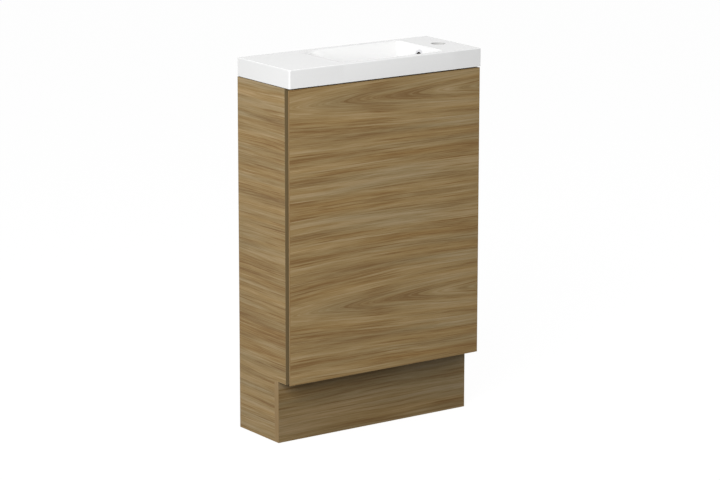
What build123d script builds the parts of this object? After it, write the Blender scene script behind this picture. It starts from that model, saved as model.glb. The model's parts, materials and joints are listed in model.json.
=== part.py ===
from build123d import *
import os

# A slim freestanding bathroom vanity: a wood-finish cabinet with one door, on a recessed
# kickboard, under a one-piece white basin top.
# Millimetres. +X is right, +Y is back, +Z is up, and the origin is on the floor under the
# middle of the basin top.

# Overall sizes
basin_width = 550.0
basin_depth = 220.0
overall_height = 900.0
apron_height = 44.0
kick_height = 150.0

# Boards and edge bands
board = 16.0
band = 0.8
side_overhang = 1.0
front_overhang = 3.5
kick_setback = 50.0
top_rail_height = 100.0
front_rail_height = 80.0
rail_notch_play = 5.0
lower_rail_height = 80.0
kick_rear_rail_lift = 70.0

# Gaps between the pieces
seal_gap = 2.0
seal_inset = 2.0
seal_width = 4.5
door_gap = 1.5
door_top_gap = 1.5
door_bottom_gap = 1.0
running_play = 0.05
close_play = 0.05

# Finger pull along the door's free edge
lip_thickness = 3.0
pull_run = 13.0

# Basin top
shell = 8.0
edge_radius = 2.5
corner_radius = 4.0
rim_radius = 4.0
rim_width = 17.0
bowl_left_ledge = 166.5
bowl_right_ledge = 96.7
bowl_depth = 82.0
bowl_radius = 16.0
floor_length = 84.0
floor_half_width = 52.0
floor_right_inset = 21.0
floor_thickness = 12.0
rib_clearance = 8.0
tap_hole_radius = 17.5
tap_from_right = 46.0
tap_boss_radius = 30.0
tap_boss_height = 14.0
overflow_drop = 26.0
overflow_hole_radius = 11.5
overflow_ring_radius = 16.5
ring_flange = 2.0
ring_lip = 6.0

# Basin waste and its plug
waste_radius = 20.95
waste_wall = 2.45
waste_from_right = 46.0
waste_hole_play = 2.05
flange_reach = 10.05
flange_thickness = 2.5
upper_gasket_thickness = 1.5
lower_gasket_thickness = 3.0
nut_thickness = 12.0
nut_wall = 8.05
tail_length = 69.5
trap_thread_length = 40.0
thread_relief_width = 2.0
thread_relief_depth = 0.7
stem_radius = 3.0
stem_length = 40.0
stem_collar_radius = 5.0
stem_collar_height = 2.5
boss_radius = 6.0
spider_drop = 20.0
spider_height = 8.0
spider_bar = 3.0
plug_thickness = 3.0
plug_seal_thickness = 2.0
plug_seal_inner = 12.0
plug_cap_inset = 0.6
plug_play = 0.3

# Shelf
shelf_height = 430.0
shelf_front_gap = 18.0
shelf_back_gap = 18.0
shelf_end_gap = 1.0
pin_radius = 2.5
pin_reach = 8.0
pin_depth = 9.5
pin_pitch = 32.0
pin_rows = 5
pin_inset = 44.0

# Board fixings
dowel_radius = 3.95
dowel_in_side = 12.0
dowel_in_board = 18.0
dowel_inset = 16.0
bottom_dowel_inset = 32.0
bottom_cam_inset = 64.0
cam_radius = 7.5
cam_depth = 12.5
cam_from_end = 24.0
cam_bolt_radius = 3.0
cam_bolt_in_side = 11.0
cam_slot_length = 10.5
cam_slot_width = 2.0
cam_slot_depth = 2.0
kick_block = 30.0
kick_block_from_end = 134.0
kick_screw_land = 8.0
kick_screw_offset = 7.5
wall_hole_radius = 3.0
wall_hole_pitch = 400.0

# Screws
screw_head = 2.4
screw_shank = 1.4
screw_cone = 1.6
screw_length = 13.0

# Hinges, which stand just outside the right side panel
hinge_length = 60.0
hinge_inset = 100.0
leaf_thickness = 0.6
leaf_width = 15.0
knuckle_radius = 2.1
knuckle_offset = 2.5
knuckle_gap = 0.3
hinge_pin_radius = 0.9
pin_head_radius = 1.6
pin_head_height = 0.8
hinge_screw_pitch = 24.0

# Catch and buffers
catch_width = 12.0
catch_depth = 28.0
catch_length = 46.0
catch_height = 500.0
strike_thickness = 0.8
strike_width = 16.0
strike_length = 36.0
catch_gap = 0.4
catch_screw_land = 3.2
catch_screw_pitch = 27.6
buffer_radius = 4.0
buffer_thickness = 1.2
buffer_inset = 34.0

# Places worked out from the sizes above
half_basin = basin_width / 2
half_width = half_basin - side_overhang
inner_x = half_width - board
back_y = basin_depth / 2
door_front_y = -basin_depth / 2 + front_overhang
door_back_y = door_front_y + board
front_y = door_back_y + door_gap
kick_front_y = door_front_y + kick_setback
kick_back_y = kick_front_y + board
apron_low_z = overall_height - apron_height
carcass_top_z = apron_low_z - seal_gap
door_low_z = kick_height + door_bottom_gap
door_high_z = carcass_top_z - door_top_gap
bottom_mid_z = kick_height + board / 2
shelf_high_z = shelf_height + board

bowl_left_x = -half_basin + bowl_left_ledge
bowl_right_x = half_basin - bowl_right_ledge
bowl_half_y = basin_depth / 2 - rim_width
bowl_floor_z = overall_height - bowl_depth
floor_right_x = bowl_right_x - floor_right_inset
floor_left_x = floor_right_x - floor_length
waste_x = floor_right_x - waste_from_right
shell_low_z = bowl_floor_z - floor_thickness
waste_bore = waste_radius - waste_wall
waste_hole_radius = waste_radius + waste_hole_play
flange_radius = waste_radius + flange_reach
nut_radius = waste_radius + nut_wall
plate_low_z = overall_height - shell

# Front and back faces and heights of the boards that run between the side panels
rails = {
    "front_rail": (front_y, front_y + board, carcass_top_z - front_rail_height, carcass_top_z),
    "back_top_rail": (back_y - board, back_y, carcass_top_z - top_rail_height, carcass_top_z),
    "back_bottom_rail": (
        back_y - board,
        back_y,
        kick_height + board,
        kick_height + board + lower_rail_height,
    ),
    "rear_foot_rail": (back_y - board, back_y, kick_rear_rail_lift, kick_height),
}
bottom_dowel_y = (front_y + bottom_dowel_inset, back_y - bottom_dowel_inset)
bottom_cam_y = (front_y + bottom_cam_inset, back_y - bottom_cam_inset)

os.makedirs("parts", exist_ok=True)


def keep(piece, name):
    """Label a finished piece and write it to the file that carries its name."""
    piece.part.label = name
    export_step(piece.part, f"parts/{name}.step")


def block(low, high, mode=Mode.ADD):
    """A straight-sided block between two opposite corners, in the part being made."""
    size = [b - a for a, b in zip(low, high)]
    centre = [(a + b) / 2 for a, b in zip(low, high)]
    with Locations(tuple(centre)):
        Box(*size, mode=mode)


def screw_shape(play=0.0):
    """A countersunk screw along -Z with its head's face at the origin, or its hole with play."""
    with BuildPart() as screw:
        with BuildSketch(Plane.XZ):
            with BuildLine():
                Polyline(
                    (0, 0),
                    (screw_head + play, 0),
                    (screw_shank + play, -screw_cone),
                    (screw_shank + play, -screw_length - play),
                    (0, -screw_length - play),
                    close=True,
                )
            make_face()
        revolve(axis=Axis.Z)
    return screw.part


screw = screw_shape()
screw_hole = screw_shape(close_play)

# Turns that point a screw's shank along each direction it is driven in
towards_back = (90, 0, 0)
towards_front = (-90, 0, 0)
upwards = (180, 0, 0)
towards_left = (0, 90, 0)


def side_spots():
    """Places on a side panel's inner face, as (y, z), of its dowels and its cam bolts."""
    dowels = [(y, bottom_mid_z) for y in bottom_dowel_y]
    cams = [(y, bottom_mid_z) for y in bottom_cam_y]
    for front, back, low, high in rails.values():
        middle = (front + back) / 2
        dowels += [(middle, low + dowel_inset), (middle, high - dowel_inset)]
        cams.append((middle, (low + high) / 2))
    return dowels, cams


dowel_spots, cam_spots = side_spots()
pin_columns = (front_y + pin_inset, back_y - pin_inset)
pin_centre_z = shelf_height - pin_radius
pin_spots = [
    (y, pin_centre_z + pin_pitch * (row - pin_rows // 2))
    for y in pin_columns
    for row in range(pin_rows)
]
catch_front_y = door_back_y + strike_thickness + catch_gap
catch_screw_spots = [
    (catch_front_y + catch_depth / 2, catch_height + side * catch_screw_pitch / 2)
    for side in (-1, 1)
]
catch_screws_at = [
    Location((-inner_x + catch_screw_land, y, z), towards_left) for y, z in catch_screw_spots
]
hinge_mids = {"lower": door_low_z + hinge_inset, "upper": door_high_z - hinge_inset}
hinge_axis_x = half_width + knuckle_offset
hinge_axis_y = (door_back_y + front_y) / 2
hinge_screw_x = half_width - leaf_width / 2
hinge_screw_z = [
    mid + side * hinge_screw_pitch / 2 for mid in hinge_mids.values() for side in (-1, 1)
]
cabinet_screws = [
    Location((hinge_screw_x, front_y - leaf_thickness, z), towards_back) for z in hinge_screw_z
]
door_screws = [
    Location((hinge_screw_x, door_back_y + leaf_thickness, z), towards_front)
    for z in hinge_screw_z
]
strike_x = -inner_x + catch_width / 2
strike_screw = Location((strike_x, door_back_y + strike_thickness, catch_height), towards_front)
kick_block_x = [side * (half_width - kick_block_from_end) for side in (-1, 1)]
kick_block_mid_y = kick_back_y + kick_block / 2
kick_block_mid_z = kick_height - kick_block / 2
kick_screw_y = kick_back_y + kick_screw_land
kick_screw_z = kick_height - kick_screw_land
kick_screws = [
    place
    for x in kick_block_x
    for place in (
        Location((x - kick_screw_offset, kick_block_mid_y, kick_screw_z), upwards),
        Location((x + kick_screw_offset, kick_screw_y, kick_block_mid_z), towards_front),
    )
]


def drill(places):
    """Cut screw holes into the part being made."""
    with Locations(*places):
        add(screw_hole, mode=Mode.SUBTRACT)


def side_panel(side):
    """A side board with its toe notch, with side -1 for the left one and 1 for the right one."""
    outer_x = side * half_width
    face_x = side * inner_x
    into_side = (0, -90 * side, 0)
    with BuildPart() as panel:
        with BuildSketch(Plane.YZ.offset(min(outer_x, face_x))):
            with BuildLine():
                Polyline(
                    (kick_back_y, band),
                    (back_y, band),
                    (back_y, carcass_top_z),
                    (front_y + band, carcass_top_z),
                    (front_y + band, kick_height),
                    (kick_back_y, kick_height),
                    close=True,
                )
            make_face()
        extrude(amount=board)
        with Locations(*[Location((face_x, y, z), into_side) for y, z in dowel_spots]):
            Hole(dowel_radius + close_play, depth=dowel_in_side + close_play)
        with Locations(*[Location((face_x, y, z), into_side) for y, z in cam_spots]):
            Hole(cam_bolt_radius + close_play, depth=cam_bolt_in_side + close_play)
        with Locations(*[Location((face_x, y, z), into_side) for y, z in pin_spots]):
            Hole(pin_radius + close_play, depth=pin_depth + close_play)
        if side < 0:
            drill(catch_screws_at)
        else:
            drill(cabinet_screws)
    return panel


def end_holes(y, z_dowels, z_cam):
    """Cut dowel and cam bolt holes into both ends of the board being made, at one y."""
    for side in (-1, 1):
        into_end = (0, 90 * side, 0)
        with Locations(*[Location((side * inner_x, y, z), into_end) for z in z_dowels]):
            Hole(dowel_radius + close_play, depth=dowel_in_board + close_play)
        with Locations(Location((side * inner_x, y, z_cam), into_end)):
            Hole(cam_bolt_radius + close_play, depth=cam_from_end)


def cam_places():
    """Mouth of each cam lock's hole, turned so that the lock goes in along -Z of the place."""
    x = inner_x - cam_from_end
    places = [
        Location((side * x, y, kick_height), upwards) for side in (-1, 1) for y in bottom_cam_y
    ]
    for name, (front, back, low, high) in rails.items():
        middle = (low + high) / 2
        at_front = name == "front_rail"
        mouth_y = back if at_front else front
        turn = towards_front if at_front else towards_back
        places += [Location((side * x, mouth_y, middle), turn) for side in (-1, 1)]
    return places


def cam_pockets():
    """Cut the cam locks' pockets into whichever board is being made."""
    with Locations(*cam_places()):
        Hole(cam_radius + close_play, depth=cam_depth + close_play)


def bowl_shape(top_z, low_z, grow):
    """The bowl with flat sloping walls from its rim to its floor, and rounded corners.

    Grown sideways it is the outside of the bowl's wall.
    """
    with BuildPart() as bowl:
        with BuildSketch(Plane.XY.offset(low_z)):
            with Locations(((floor_left_x + floor_right_x) / 2, 0)):
                Rectangle(floor_length + 2 * grow, 2 * (floor_half_width + grow))
        with BuildSketch(Plane.XY.offset(top_z)):
            with Locations(((bowl_left_x + bowl_right_x) / 2, 0)):
                Rectangle(bowl_right_x - bowl_left_x + 2 * grow, 2 * (bowl_half_y + grow))
        loft(ruled=True)
        fillet(bowl.edges().filter_by(lambda e: e.center().Z < top_z - edge_radius), bowl_radius)
    return bowl.part


# Side panels
left_side = side_panel(-1)
keep(left_side, "left_side_panel")
right_side = side_panel(1)
keep(right_side, "right_side_panel")

# Bottom panel, between the sides and above the kickboard
with BuildPart() as bottom_panel:
    block((-inner_x, front_y + band, kick_height), (inner_x, back_y, kick_height + board))
    for dowel_y, cam_y in zip(bottom_dowel_y, bottom_cam_y):
        end_holes(dowel_y, [bottom_mid_z], bottom_mid_z)
        for side in (-1, 1):
            with Locations(Location((side * inner_x, cam_y, bottom_mid_z), (0, 90 * side, 0))):
                Hole(cam_bolt_radius + close_play, depth=cam_from_end)
    cam_pockets()
    drill(kick_screws)
keep(bottom_panel, "bottom_panel")

# Boards that run between the side panels, the front one notched for the bowl. The notch goes
# down to where the bowl's outside has drawn in clear of the rail's back face.
bowl_outer_left_x = bowl_left_x - shell - rib_clearance
bowl_outer_right_x = bowl_right_x + shell + rib_clearance
bowl_top_z = overall_height - edge_radius
rail_inner_y = -rails["front_rail"][1]
draw_in = (bowl_top_z - shell_low_z) / (bowl_half_y - floor_half_width)
notch_low_z = shell_low_z + (rail_inner_y - rail_notch_play - shell - floor_half_width) * draw_in
for rail_name, (rail_front, rail_back, rail_low, rail_high) in rails.items():
    with BuildPart() as rail:
        block((-inner_x, rail_front, rail_low), (inner_x, rail_back, rail_high))
        end_holes(
            (rail_front + rail_back) / 2,
            [rail_low + dowel_inset, rail_high - dowel_inset],
            (rail_low + rail_high) / 2,
        )
        cam_pockets()
        if rail_name == "front_rail":
            block(
                (bowl_outer_left_x, rail_front, notch_low_z),
                (bowl_outer_right_x, rail_back, rail_high),
                mode=Mode.SUBTRACT,
            )
        if rail_name == "back_top_rail":
            with Locations(Location((0, rail_front, (rail_low + rail_high) / 2), towards_front)):
                with GridLocations(wall_hole_pitch, 1, 2, 1):
                    Hole(wall_hole_radius)
    keep(rail, rail_name)

# Kickboard and the bands on its two visible ends
with BuildPart() as kickboard:
    block(
        (-half_width + band, kick_front_y, band),
        (half_width - band, kick_back_y, kick_height),
    )
    drill(kick_screws)
keep(kickboard, "kickboard")

with BuildPart() as kick_end_bands:
    for low_x in (-half_width, half_width - band):
        block((low_x, kick_front_y, band), (low_x + band, kick_back_y, kick_height))
keep(kick_end_bands, "kick_end_bands")

# Bands on the edges that stand on the floor
with BuildPart() as floor_bands:
    block((-half_width, kick_front_y, 0), (half_width, kick_back_y, band))
    for low_x in (-half_width, inner_x):
        block((low_x, kick_back_y, 0), (low_x + board, back_y, band))
keep(floor_bands, "floor_edge_bands")

# Bands on the cabinet's front edges
with BuildPart() as side_bands:
    for low_x in (-half_width, inner_x):
        block((low_x, front_y, kick_height), (low_x + board, front_y + band, carcass_top_z))
    drill(cabinet_screws)
keep(side_bands, "side_front_bands")

with BuildPart() as bottom_band:
    block((-inner_x, front_y, kick_height), (inner_x, front_y + band, kick_height + board))
keep(bottom_band, "bottom_front_band")

# Shelf on four pins
shelf_half = inner_x - shelf_end_gap
shelf_front_y = front_y + shelf_front_gap
with BuildPart() as shelf:
    block(
        (-shelf_half, shelf_front_y + band, shelf_height),
        (shelf_half, back_y - shelf_back_gap, shelf_high_z),
    )
keep(shelf, "shelf")

with BuildPart() as shelf_band:
    block((-shelf_half, shelf_front_y, shelf_height), (shelf_half, shelf_front_y + band, shelf_high_z))
keep(shelf_band, "shelf_front_band")

pin_mid_x = inner_x + (pin_depth - pin_reach) / 2
with BuildPart() as shelf_pins:
    for side in (-1, 1):
        places = [Location((side * pin_mid_x, y, pin_centre_z), (0, 90, 0)) for y in pin_columns]
        with Locations(*places):
            Cylinder(pin_radius, pin_depth + pin_reach)
keep(shelf_pins, "shelf_pins")

# Dowels between the boards and the sides
dowel_mid_x = inner_x + (dowel_in_side - dowel_in_board) / 2
with BuildPart() as dowels:
    for side in (-1, 1):
        with Locations(*[Location((side * dowel_mid_x, y, z), (0, 90, 0)) for y, z in dowel_spots]):
            Cylinder(dowel_radius, dowel_in_side + dowel_in_board)
keep(dowels, "carcass_dowels")

# Cam locks in the boards and the bolts that they grip
bolt_in_board = cam_from_end - cam_bolt_radius
with BuildPart() as cam_locks:
    with Locations(*cam_places()):
        Cylinder(cam_radius, cam_depth, align=(Align.CENTER, Align.CENTER, Align.MAX))
        Box(
            cam_slot_length,
            cam_slot_width,
            cam_slot_depth,
            align=(Align.CENTER, Align.CENTER, Align.MAX),
            mode=Mode.SUBTRACT,
        )
    for side in (-1, 1):
        with Locations(*[Location((side * inner_x, y, z), (0, 90 * side, 0)) for y, z in cam_spots]):
            Hole(cam_bolt_radius + close_play, depth=cam_from_end)
keep(cam_locks, "cam_locks")

bolt_mid_x = inner_x + (cam_bolt_in_side - bolt_in_board) / 2
with BuildPart() as cam_bolts:
    for side in (-1, 1):
        with Locations(*[Location((side * bolt_mid_x, y, z), (0, 90, 0)) for y, z in cam_spots]):
            Cylinder(cam_bolt_radius, cam_bolt_in_side + bolt_in_board)
keep(cam_bolts, "cam_bolts")

# Corner blocks that hold the kickboard to the bottom panel
with BuildPart() as kick_blocks:
    for x in kick_block_x:
        block(
            (x - kick_block / 2, kick_back_y, kick_height - kick_block),
            (x + kick_block / 2, kick_back_y + kick_block, kick_height),
        )
    drill(kick_screws)
    with Locations(*kick_screws):
        Cylinder(
            screw_head + close_play,
            kick_block,
            align=(Align.CENTER, Align.CENTER, Align.MIN),
            mode=Mode.SUBTRACT,
        )
keep(kick_blocks, "kick_corner_blocks")

with BuildPart() as kick_block_screws:
    with Locations(*kick_screws):
        add(screw)
keep(kick_block_screws, "kick_block_screws")

# Sealant bead that the basin top is bedded on, in from the cabinet's faces
seal_side_x = half_width - seal_inset
seal_rib_front_y = front_y + seal_inset / 2
rib_back_y = front_y + shell
with BuildPart() as sealant:
    for side in (-1, 1):
        xs = sorted((side * seal_side_x, side * (seal_side_x - seal_width)))
        block((xs[0], seal_rib_front_y, carcass_top_z), (xs[1], back_y - seal_inset, apron_low_z))
    block(
        (-seal_side_x, back_y - seal_inset - seal_width, carcass_top_z),
        (seal_side_x, back_y - seal_inset, apron_low_z),
    )
    for low_x, high_x in ((-seal_side_x, bowl_outer_left_x), (bowl_outer_right_x, seal_side_x)):
        block(
            (low_x, seal_rib_front_y, carcass_top_z),
            (high_x, seal_rib_front_y + seal_width, apron_low_z),
        )
keep(sealant, "basin_sealant")

# Basin top: a hollow-backed slab with its bowl, tap hole, overflow and waste holes. It is one
# casting, cut here across its two ledges, so that each length's collision can follow its own
# hollows and the bowl stays open.
wall_lean = floor_right_inset / bowl_depth
overflow_z = overall_height - overflow_drop
overflow_x = bowl_right_x - overflow_drop * wall_lean
overflow_plane = Plane(
    origin=(overflow_x, 0, overflow_z),
    x_dir=(0, 1, 0),
    z_dir=(-1, 0, wall_lean),
)
tap_x = half_basin - tap_from_right
flange_low_z = bowl_floor_z - flange_thickness
recess_z = flange_low_z - upper_gasket_thickness
overflow_reach = 2 * shell
bowl_hollow = bowl_shape(overall_height, bowl_floor_z, 0)
bowl_outside = bowl_shape(bowl_top_z, shell_low_z, shell)
with BuildPart() as basin:
    with BuildSketch(Plane.XY.offset(apron_low_z)):
        RectangleRounded(basin_width, basin_depth, corner_radius)
    extrude(amount=apron_height)
    fillet(basin.faces().sort_by(Axis.Z)[-1].edges(), edge_radius)
    with BuildSketch(Plane.XY.offset(apron_low_z)):
        Rectangle(basin_width - 2 * shell, basin_depth - 2 * shell)
    extrude(amount=apron_height - shell, mode=Mode.SUBTRACT)
    for low_x, high_x in (
        (-half_basin + shell, bowl_outer_left_x),
        (bowl_outer_right_x, half_basin - shell),
    ):
        block((low_x, front_y, apron_low_z), (high_x, rib_back_y, plate_low_z))
    with Locations((tap_x, 0, overall_height - tap_boss_height)):
        Cylinder(tap_boss_radius, shell, align=(Align.CENTER, Align.CENTER, Align.MIN))
    add(bowl_outside)
    add(bowl_hollow, mode=Mode.SUBTRACT)
    rim = basin.faces().sort_by(Axis.Z)[-1].inner_wires()[0]
    fillet(rim.edges(), rim_radius)
    with Locations((tap_x, 0, overall_height)):
        Hole(tap_hole_radius, depth=2 * tap_boss_height)
    with Locations((waste_x, 0, bowl_floor_z)):
        CounterBoreHole(
            waste_hole_radius,
            flange_radius + close_play,
            bowl_floor_z - recess_z,
            depth=2 * floor_thickness,
        )
    with BuildSketch(overflow_plane):
        Circle(overflow_hole_radius)
    extrude(amount=-overflow_reach, mode=Mode.SUBTRACT)
for name, low_x, high_x in (
    ("basin_left_ledge", -basin_width, bowl_outer_left_x),
    ("basin_bowl", bowl_outer_left_x, bowl_outer_right_x),
    ("basin_right_ledge", bowl_outer_right_x, basin_width),
):
    with BuildPart() as length:
        add(basin.part)
        block(
            (low_x, -basin_depth, 0),
            (high_x, basin_depth, 2 * overall_height),
            mode=Mode.INTERSECT,
        )
    keep(length, name)

# Overflow ring, pushed into its hole from the bowl
with BuildPart() as ring:
    with BuildSketch(overflow_plane):
        Circle(overflow_ring_radius)
    extrude(amount=ring_flange)
    fillet(ring.edges().sort_by(Axis.X)[0], ring_flange / 2)
    with BuildSketch(overflow_plane):
        Circle(overflow_hole_radius - close_play)
    extrude(amount=-overflow_reach)
    with BuildSketch(overflow_plane.offset(ring_flange)):
        Circle(overflow_ring_radius - ring_lip)
    extrude(amount=-ring_flange - overflow_reach, mode=Mode.SUBTRACT)
keep(ring, "overflow_ring")

# Basin waste: flange and threaded tail in one piece, with the spider that guides the plug. A
# relief groove parts the backnut's thread from the trap's.
tail_low_z = flange_low_z - tail_length
relief_low_z = tail_low_z + trap_thread_length
relief_high_z = relief_low_z + thread_relief_width
spider_high_z = flange_low_z - spider_drop
spider_low_z = spider_high_z - spider_height
waste_axis = Axis((waste_x, 0, 0), (0, 0, 1))
bar_reach = waste_bore + close_play
with BuildPart() as waste:
    with BuildSketch(Plane.XZ):
        with BuildLine():
            Polyline(
                (waste_x + waste_bore, tail_low_z),
                (waste_x + waste_radius, tail_low_z),
                (waste_x + waste_radius, relief_low_z),
                (waste_x + waste_radius - thread_relief_depth, relief_low_z),
                (waste_x + waste_radius - thread_relief_depth, relief_high_z),
                (waste_x + waste_radius, relief_high_z),
                (waste_x + waste_radius, flange_low_z),
                (waste_x + flange_radius, flange_low_z),
                (waste_x + flange_radius, bowl_floor_z),
                (waste_x + waste_bore, bowl_floor_z),
                close=True,
            )
        make_face()
    revolve(axis=waste_axis)
    for reach_x, reach_y in ((bar_reach, spider_bar / 2), (spider_bar / 2, bar_reach)):
        block(
            (waste_x - reach_x, -reach_y, spider_low_z),
            (waste_x + reach_x, reach_y, spider_high_z),
        )
    with Locations((waste_x, 0, spider_high_z)):
        Cylinder(boss_radius, spider_height, align=(Align.CENTER, Align.CENTER, Align.MAX))
        Hole(stem_radius + running_play, depth=spider_height)
keep(waste, "basin_waste")

with BuildPart() as upper_gasket:
    with BuildSketch(Plane.XY.offset(recess_z)):
        with Locations((waste_x, 0)):
            Circle(flange_radius)
            Circle(waste_hole_radius, mode=Mode.SUBTRACT)
    extrude(amount=upper_gasket_thickness)
keep(upper_gasket, "waste_upper_gasket")

with BuildPart() as lower_gasket:
    with BuildSketch(Plane.XY.offset(shell_low_z)):
        with Locations((waste_x, 0)):
            Circle(nut_radius)
            Circle(waste_radius + close_play, mode=Mode.SUBTRACT)
    extrude(amount=-lower_gasket_thickness)
keep(lower_gasket, "waste_lower_gasket")

with BuildPart() as backnut:
    with BuildSketch(Plane.XY.offset(shell_low_z - lower_gasket_thickness)):
        with Locations((waste_x, 0)):
            RegularPolygon(nut_radius, 6)
            Circle(waste_radius + close_play, mode=Mode.SUBTRACT)
    extrude(amount=-nut_thickness)
keep(backnut, "waste_backnut")

# Plug: a domed cap on a stem that slides in the waste's spider, with a seal under the cap
cap_low_z = bowl_floor_z - plug_thickness / 2
with BuildPart() as plug_cap:
    with BuildSketch(Plane.XY.offset(cap_low_z)):
        with Locations((waste_x, 0)):
            Circle(waste_bore - plug_cap_inset)
    extrude(amount=plug_thickness)
    fillet(plug_cap.edges().sort_by(Axis.Z)[-1], plug_thickness / 2)
keep(plug_cap, "plug_cap")

with BuildPart() as plug_seal:
    with BuildSketch(Plane.XY.offset(cap_low_z)):
        with Locations((waste_x, 0)):
            Circle(waste_bore - plug_play)
            Circle(plug_seal_inner, mode=Mode.SUBTRACT)
    extrude(amount=-plug_seal_thickness)
keep(plug_seal, "plug_seal")

stem_low_z = cap_low_z - stem_length
with BuildPart() as plug_stem:
    with Locations((waste_x, 0, cap_low_z)):
        Cylinder(stem_radius, stem_length, align=(Align.CENTER, Align.CENTER, Align.MAX))
    with Locations((waste_x, 0, stem_low_z)):
        Cylinder(
            stem_collar_radius,
            stem_collar_height,
            align=(Align.CENTER, Align.CENTER, Align.MIN),
        )
keep(plug_stem, "plug_stem")

# Door: a board with a bevel behind its free edge as the finger pull, and its edge bands
pull_mouth_y = door_front_y + lip_thickness
pull_back_x = -half_width + pull_run
with BuildPart() as door:
    with BuildSketch(Plane.XY.offset(door_low_z + band)):
        with BuildLine():
            Polyline(
                (-half_width + band, door_front_y),
                (half_width - band, door_front_y),
                (half_width - band, door_back_y),
                (pull_back_x, door_back_y),
                (-half_width + band, pull_mouth_y),
                close=True,
            )
        make_face()
    extrude(amount=door_high_z - door_low_z - 2 * band)
    drill(door_screws + [strike_screw])
keep(door, "door_panel")


def door_end_band(low_z, name):
    """The band across the door's top or bottom edge."""
    with BuildPart() as end_band:
        with BuildSketch(Plane.XY.offset(low_z)):
            with BuildLine():
                Polyline(
                    (-half_width, door_front_y),
                    (half_width, door_front_y),
                    (half_width, door_back_y),
                    (pull_back_x, door_back_y),
                    (-half_width, pull_mouth_y),
                    close=True,
                )
            make_face()
        extrude(amount=band)
    keep(end_band, name)


door_end_band(door_low_z, "door_bottom_band")
door_end_band(door_high_z - band, "door_top_band")

with BuildPart() as hinge_side_band:
    block(
        (half_width - band, door_front_y, door_low_z + band),
        (half_width, door_back_y, door_high_z - band),
    )
keep(hinge_side_band, "door_hinge_side_band")

with BuildPart() as lip_band:
    block(
        (-half_width, door_front_y, door_low_z + band),
        (-half_width + band, pull_mouth_y, door_high_z - band),
    )
keep(lip_band, "door_lip_band")

# Butt hinges: each has a leaf on the side panel's edge, one on the door's back, and a pin
knuckle_length = (hinge_length - 2 * knuckle_gap) / 3


def knuckles(mid_z, on_door):
    """Lowest and highest points of one leaf's knuckles: the middle one on the door's leaf."""
    low = mid_z - hinge_length / 2
    pitch = knuckle_length + knuckle_gap
    turns = [1] if on_door else [0, 2]
    return [(low + pitch * k, low + pitch * k + knuckle_length) for k in turns]


def hinge_leaf(mid_z, on_door):
    """One leaf with its knuckles, bored for the pin and countersunk for its screws."""
    low_y = door_back_y if on_door else front_y - leaf_thickness
    high_y = low_y + leaf_thickness
    with BuildPart() as leaf:
        block(
            (half_width - leaf_width, low_y, mid_z - hinge_length / 2),
            (half_width, high_y, mid_z + hinge_length / 2),
        )
        for low, high in knuckles(mid_z, on_door):
            block((half_width - leaf_thickness, low_y, low), (hinge_axis_x, high_y, high))
            with Locations((hinge_axis_x, hinge_axis_y, (low + high) / 2)):
                Cylinder(knuckle_radius, high - low)
        with Locations((hinge_axis_x, hinge_axis_y, mid_z)):
            Cylinder(hinge_pin_radius + running_play, 2 * hinge_length, mode=Mode.SUBTRACT)
        drill(door_screws if on_door else cabinet_screws)
    return leaf


for level, mid_z in hinge_mids.items():
    keep(hinge_leaf(mid_z, False), f"{level}_hinge_cabinet_leaf")
    keep(hinge_leaf(mid_z, True), f"{level}_hinge_door_leaf")

with BuildPart() as hinge_pins:
    for mid_z in hinge_mids.values():
        with Locations((hinge_axis_x, hinge_axis_y, mid_z)):
            Cylinder(hinge_pin_radius, hinge_length)
        for end in (-1, 1):
            head_z = mid_z + end * (hinge_length + pin_head_height) / 2
            with Locations((hinge_axis_x, hinge_axis_y, head_z)):
                Cylinder(pin_head_radius, pin_head_height)
keep(hinge_pins, "hinge_pins")

with BuildPart() as hinge_cabinet_screws:
    with Locations(*cabinet_screws):
        add(screw)
keep(hinge_cabinet_screws, "hinge_cabinet_screws")

with BuildPart() as hinge_door_screws:
    with Locations(*door_screws):
        add(screw)
keep(hinge_door_screws, "hinge_door_screws")

# Magnetic catch inside the left side panel, and its strike plate on the door
catch_inner_x = -inner_x + catch_width
with BuildPart() as catch:
    block(
        (-inner_x, catch_front_y, catch_height - catch_length / 2),
        (catch_inner_x, catch_front_y + catch_depth, catch_height + catch_length / 2),
    )
    drill(catch_screws_at)
    with Locations(*catch_screws_at):
        Cylinder(
            screw_head + close_play,
            catch_width,
            align=(Align.CENTER, Align.CENTER, Align.MIN),
            mode=Mode.SUBTRACT,
        )
keep(catch, "magnetic_catch")

with BuildPart() as catch_screws:
    with Locations(*catch_screws_at):
        add(screw)
keep(catch_screws, "catch_screws")

with BuildPart() as strike:
    block(
        (strike_x - strike_width / 2, door_back_y, catch_height - strike_length / 2),
        (strike_x + strike_width / 2, door_back_y + strike_thickness, catch_height + strike_length / 2),
    )
    drill([strike_screw])
keep(strike, "catch_strike_plate")

with BuildPart() as strike_screws:
    with Locations(strike_screw):
        add(screw)
keep(strike_screws, "strike_plate_screw")

# Buffers on the door's back that meet the front rail and the bottom panel
buffer_x = pull_back_x + buffer_inset
with BuildPart() as buffers:
    for buffer_z in (bottom_mid_z, door_high_z - board):
        with Locations(Location((buffer_x, door_back_y, buffer_z), towards_front)):
            Cylinder(
                buffer_radius,
                buffer_thickness,
                align=(Align.CENTER, Align.CENTER, Align.MIN),
            )
keep(buffers, "door_buffers")
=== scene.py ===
import json
import math

import bpy
import numpy as np
from bpy.props import FloatProperty, FloatVectorProperty, PointerProperty
from mathutils import Matrix, Vector


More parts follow.
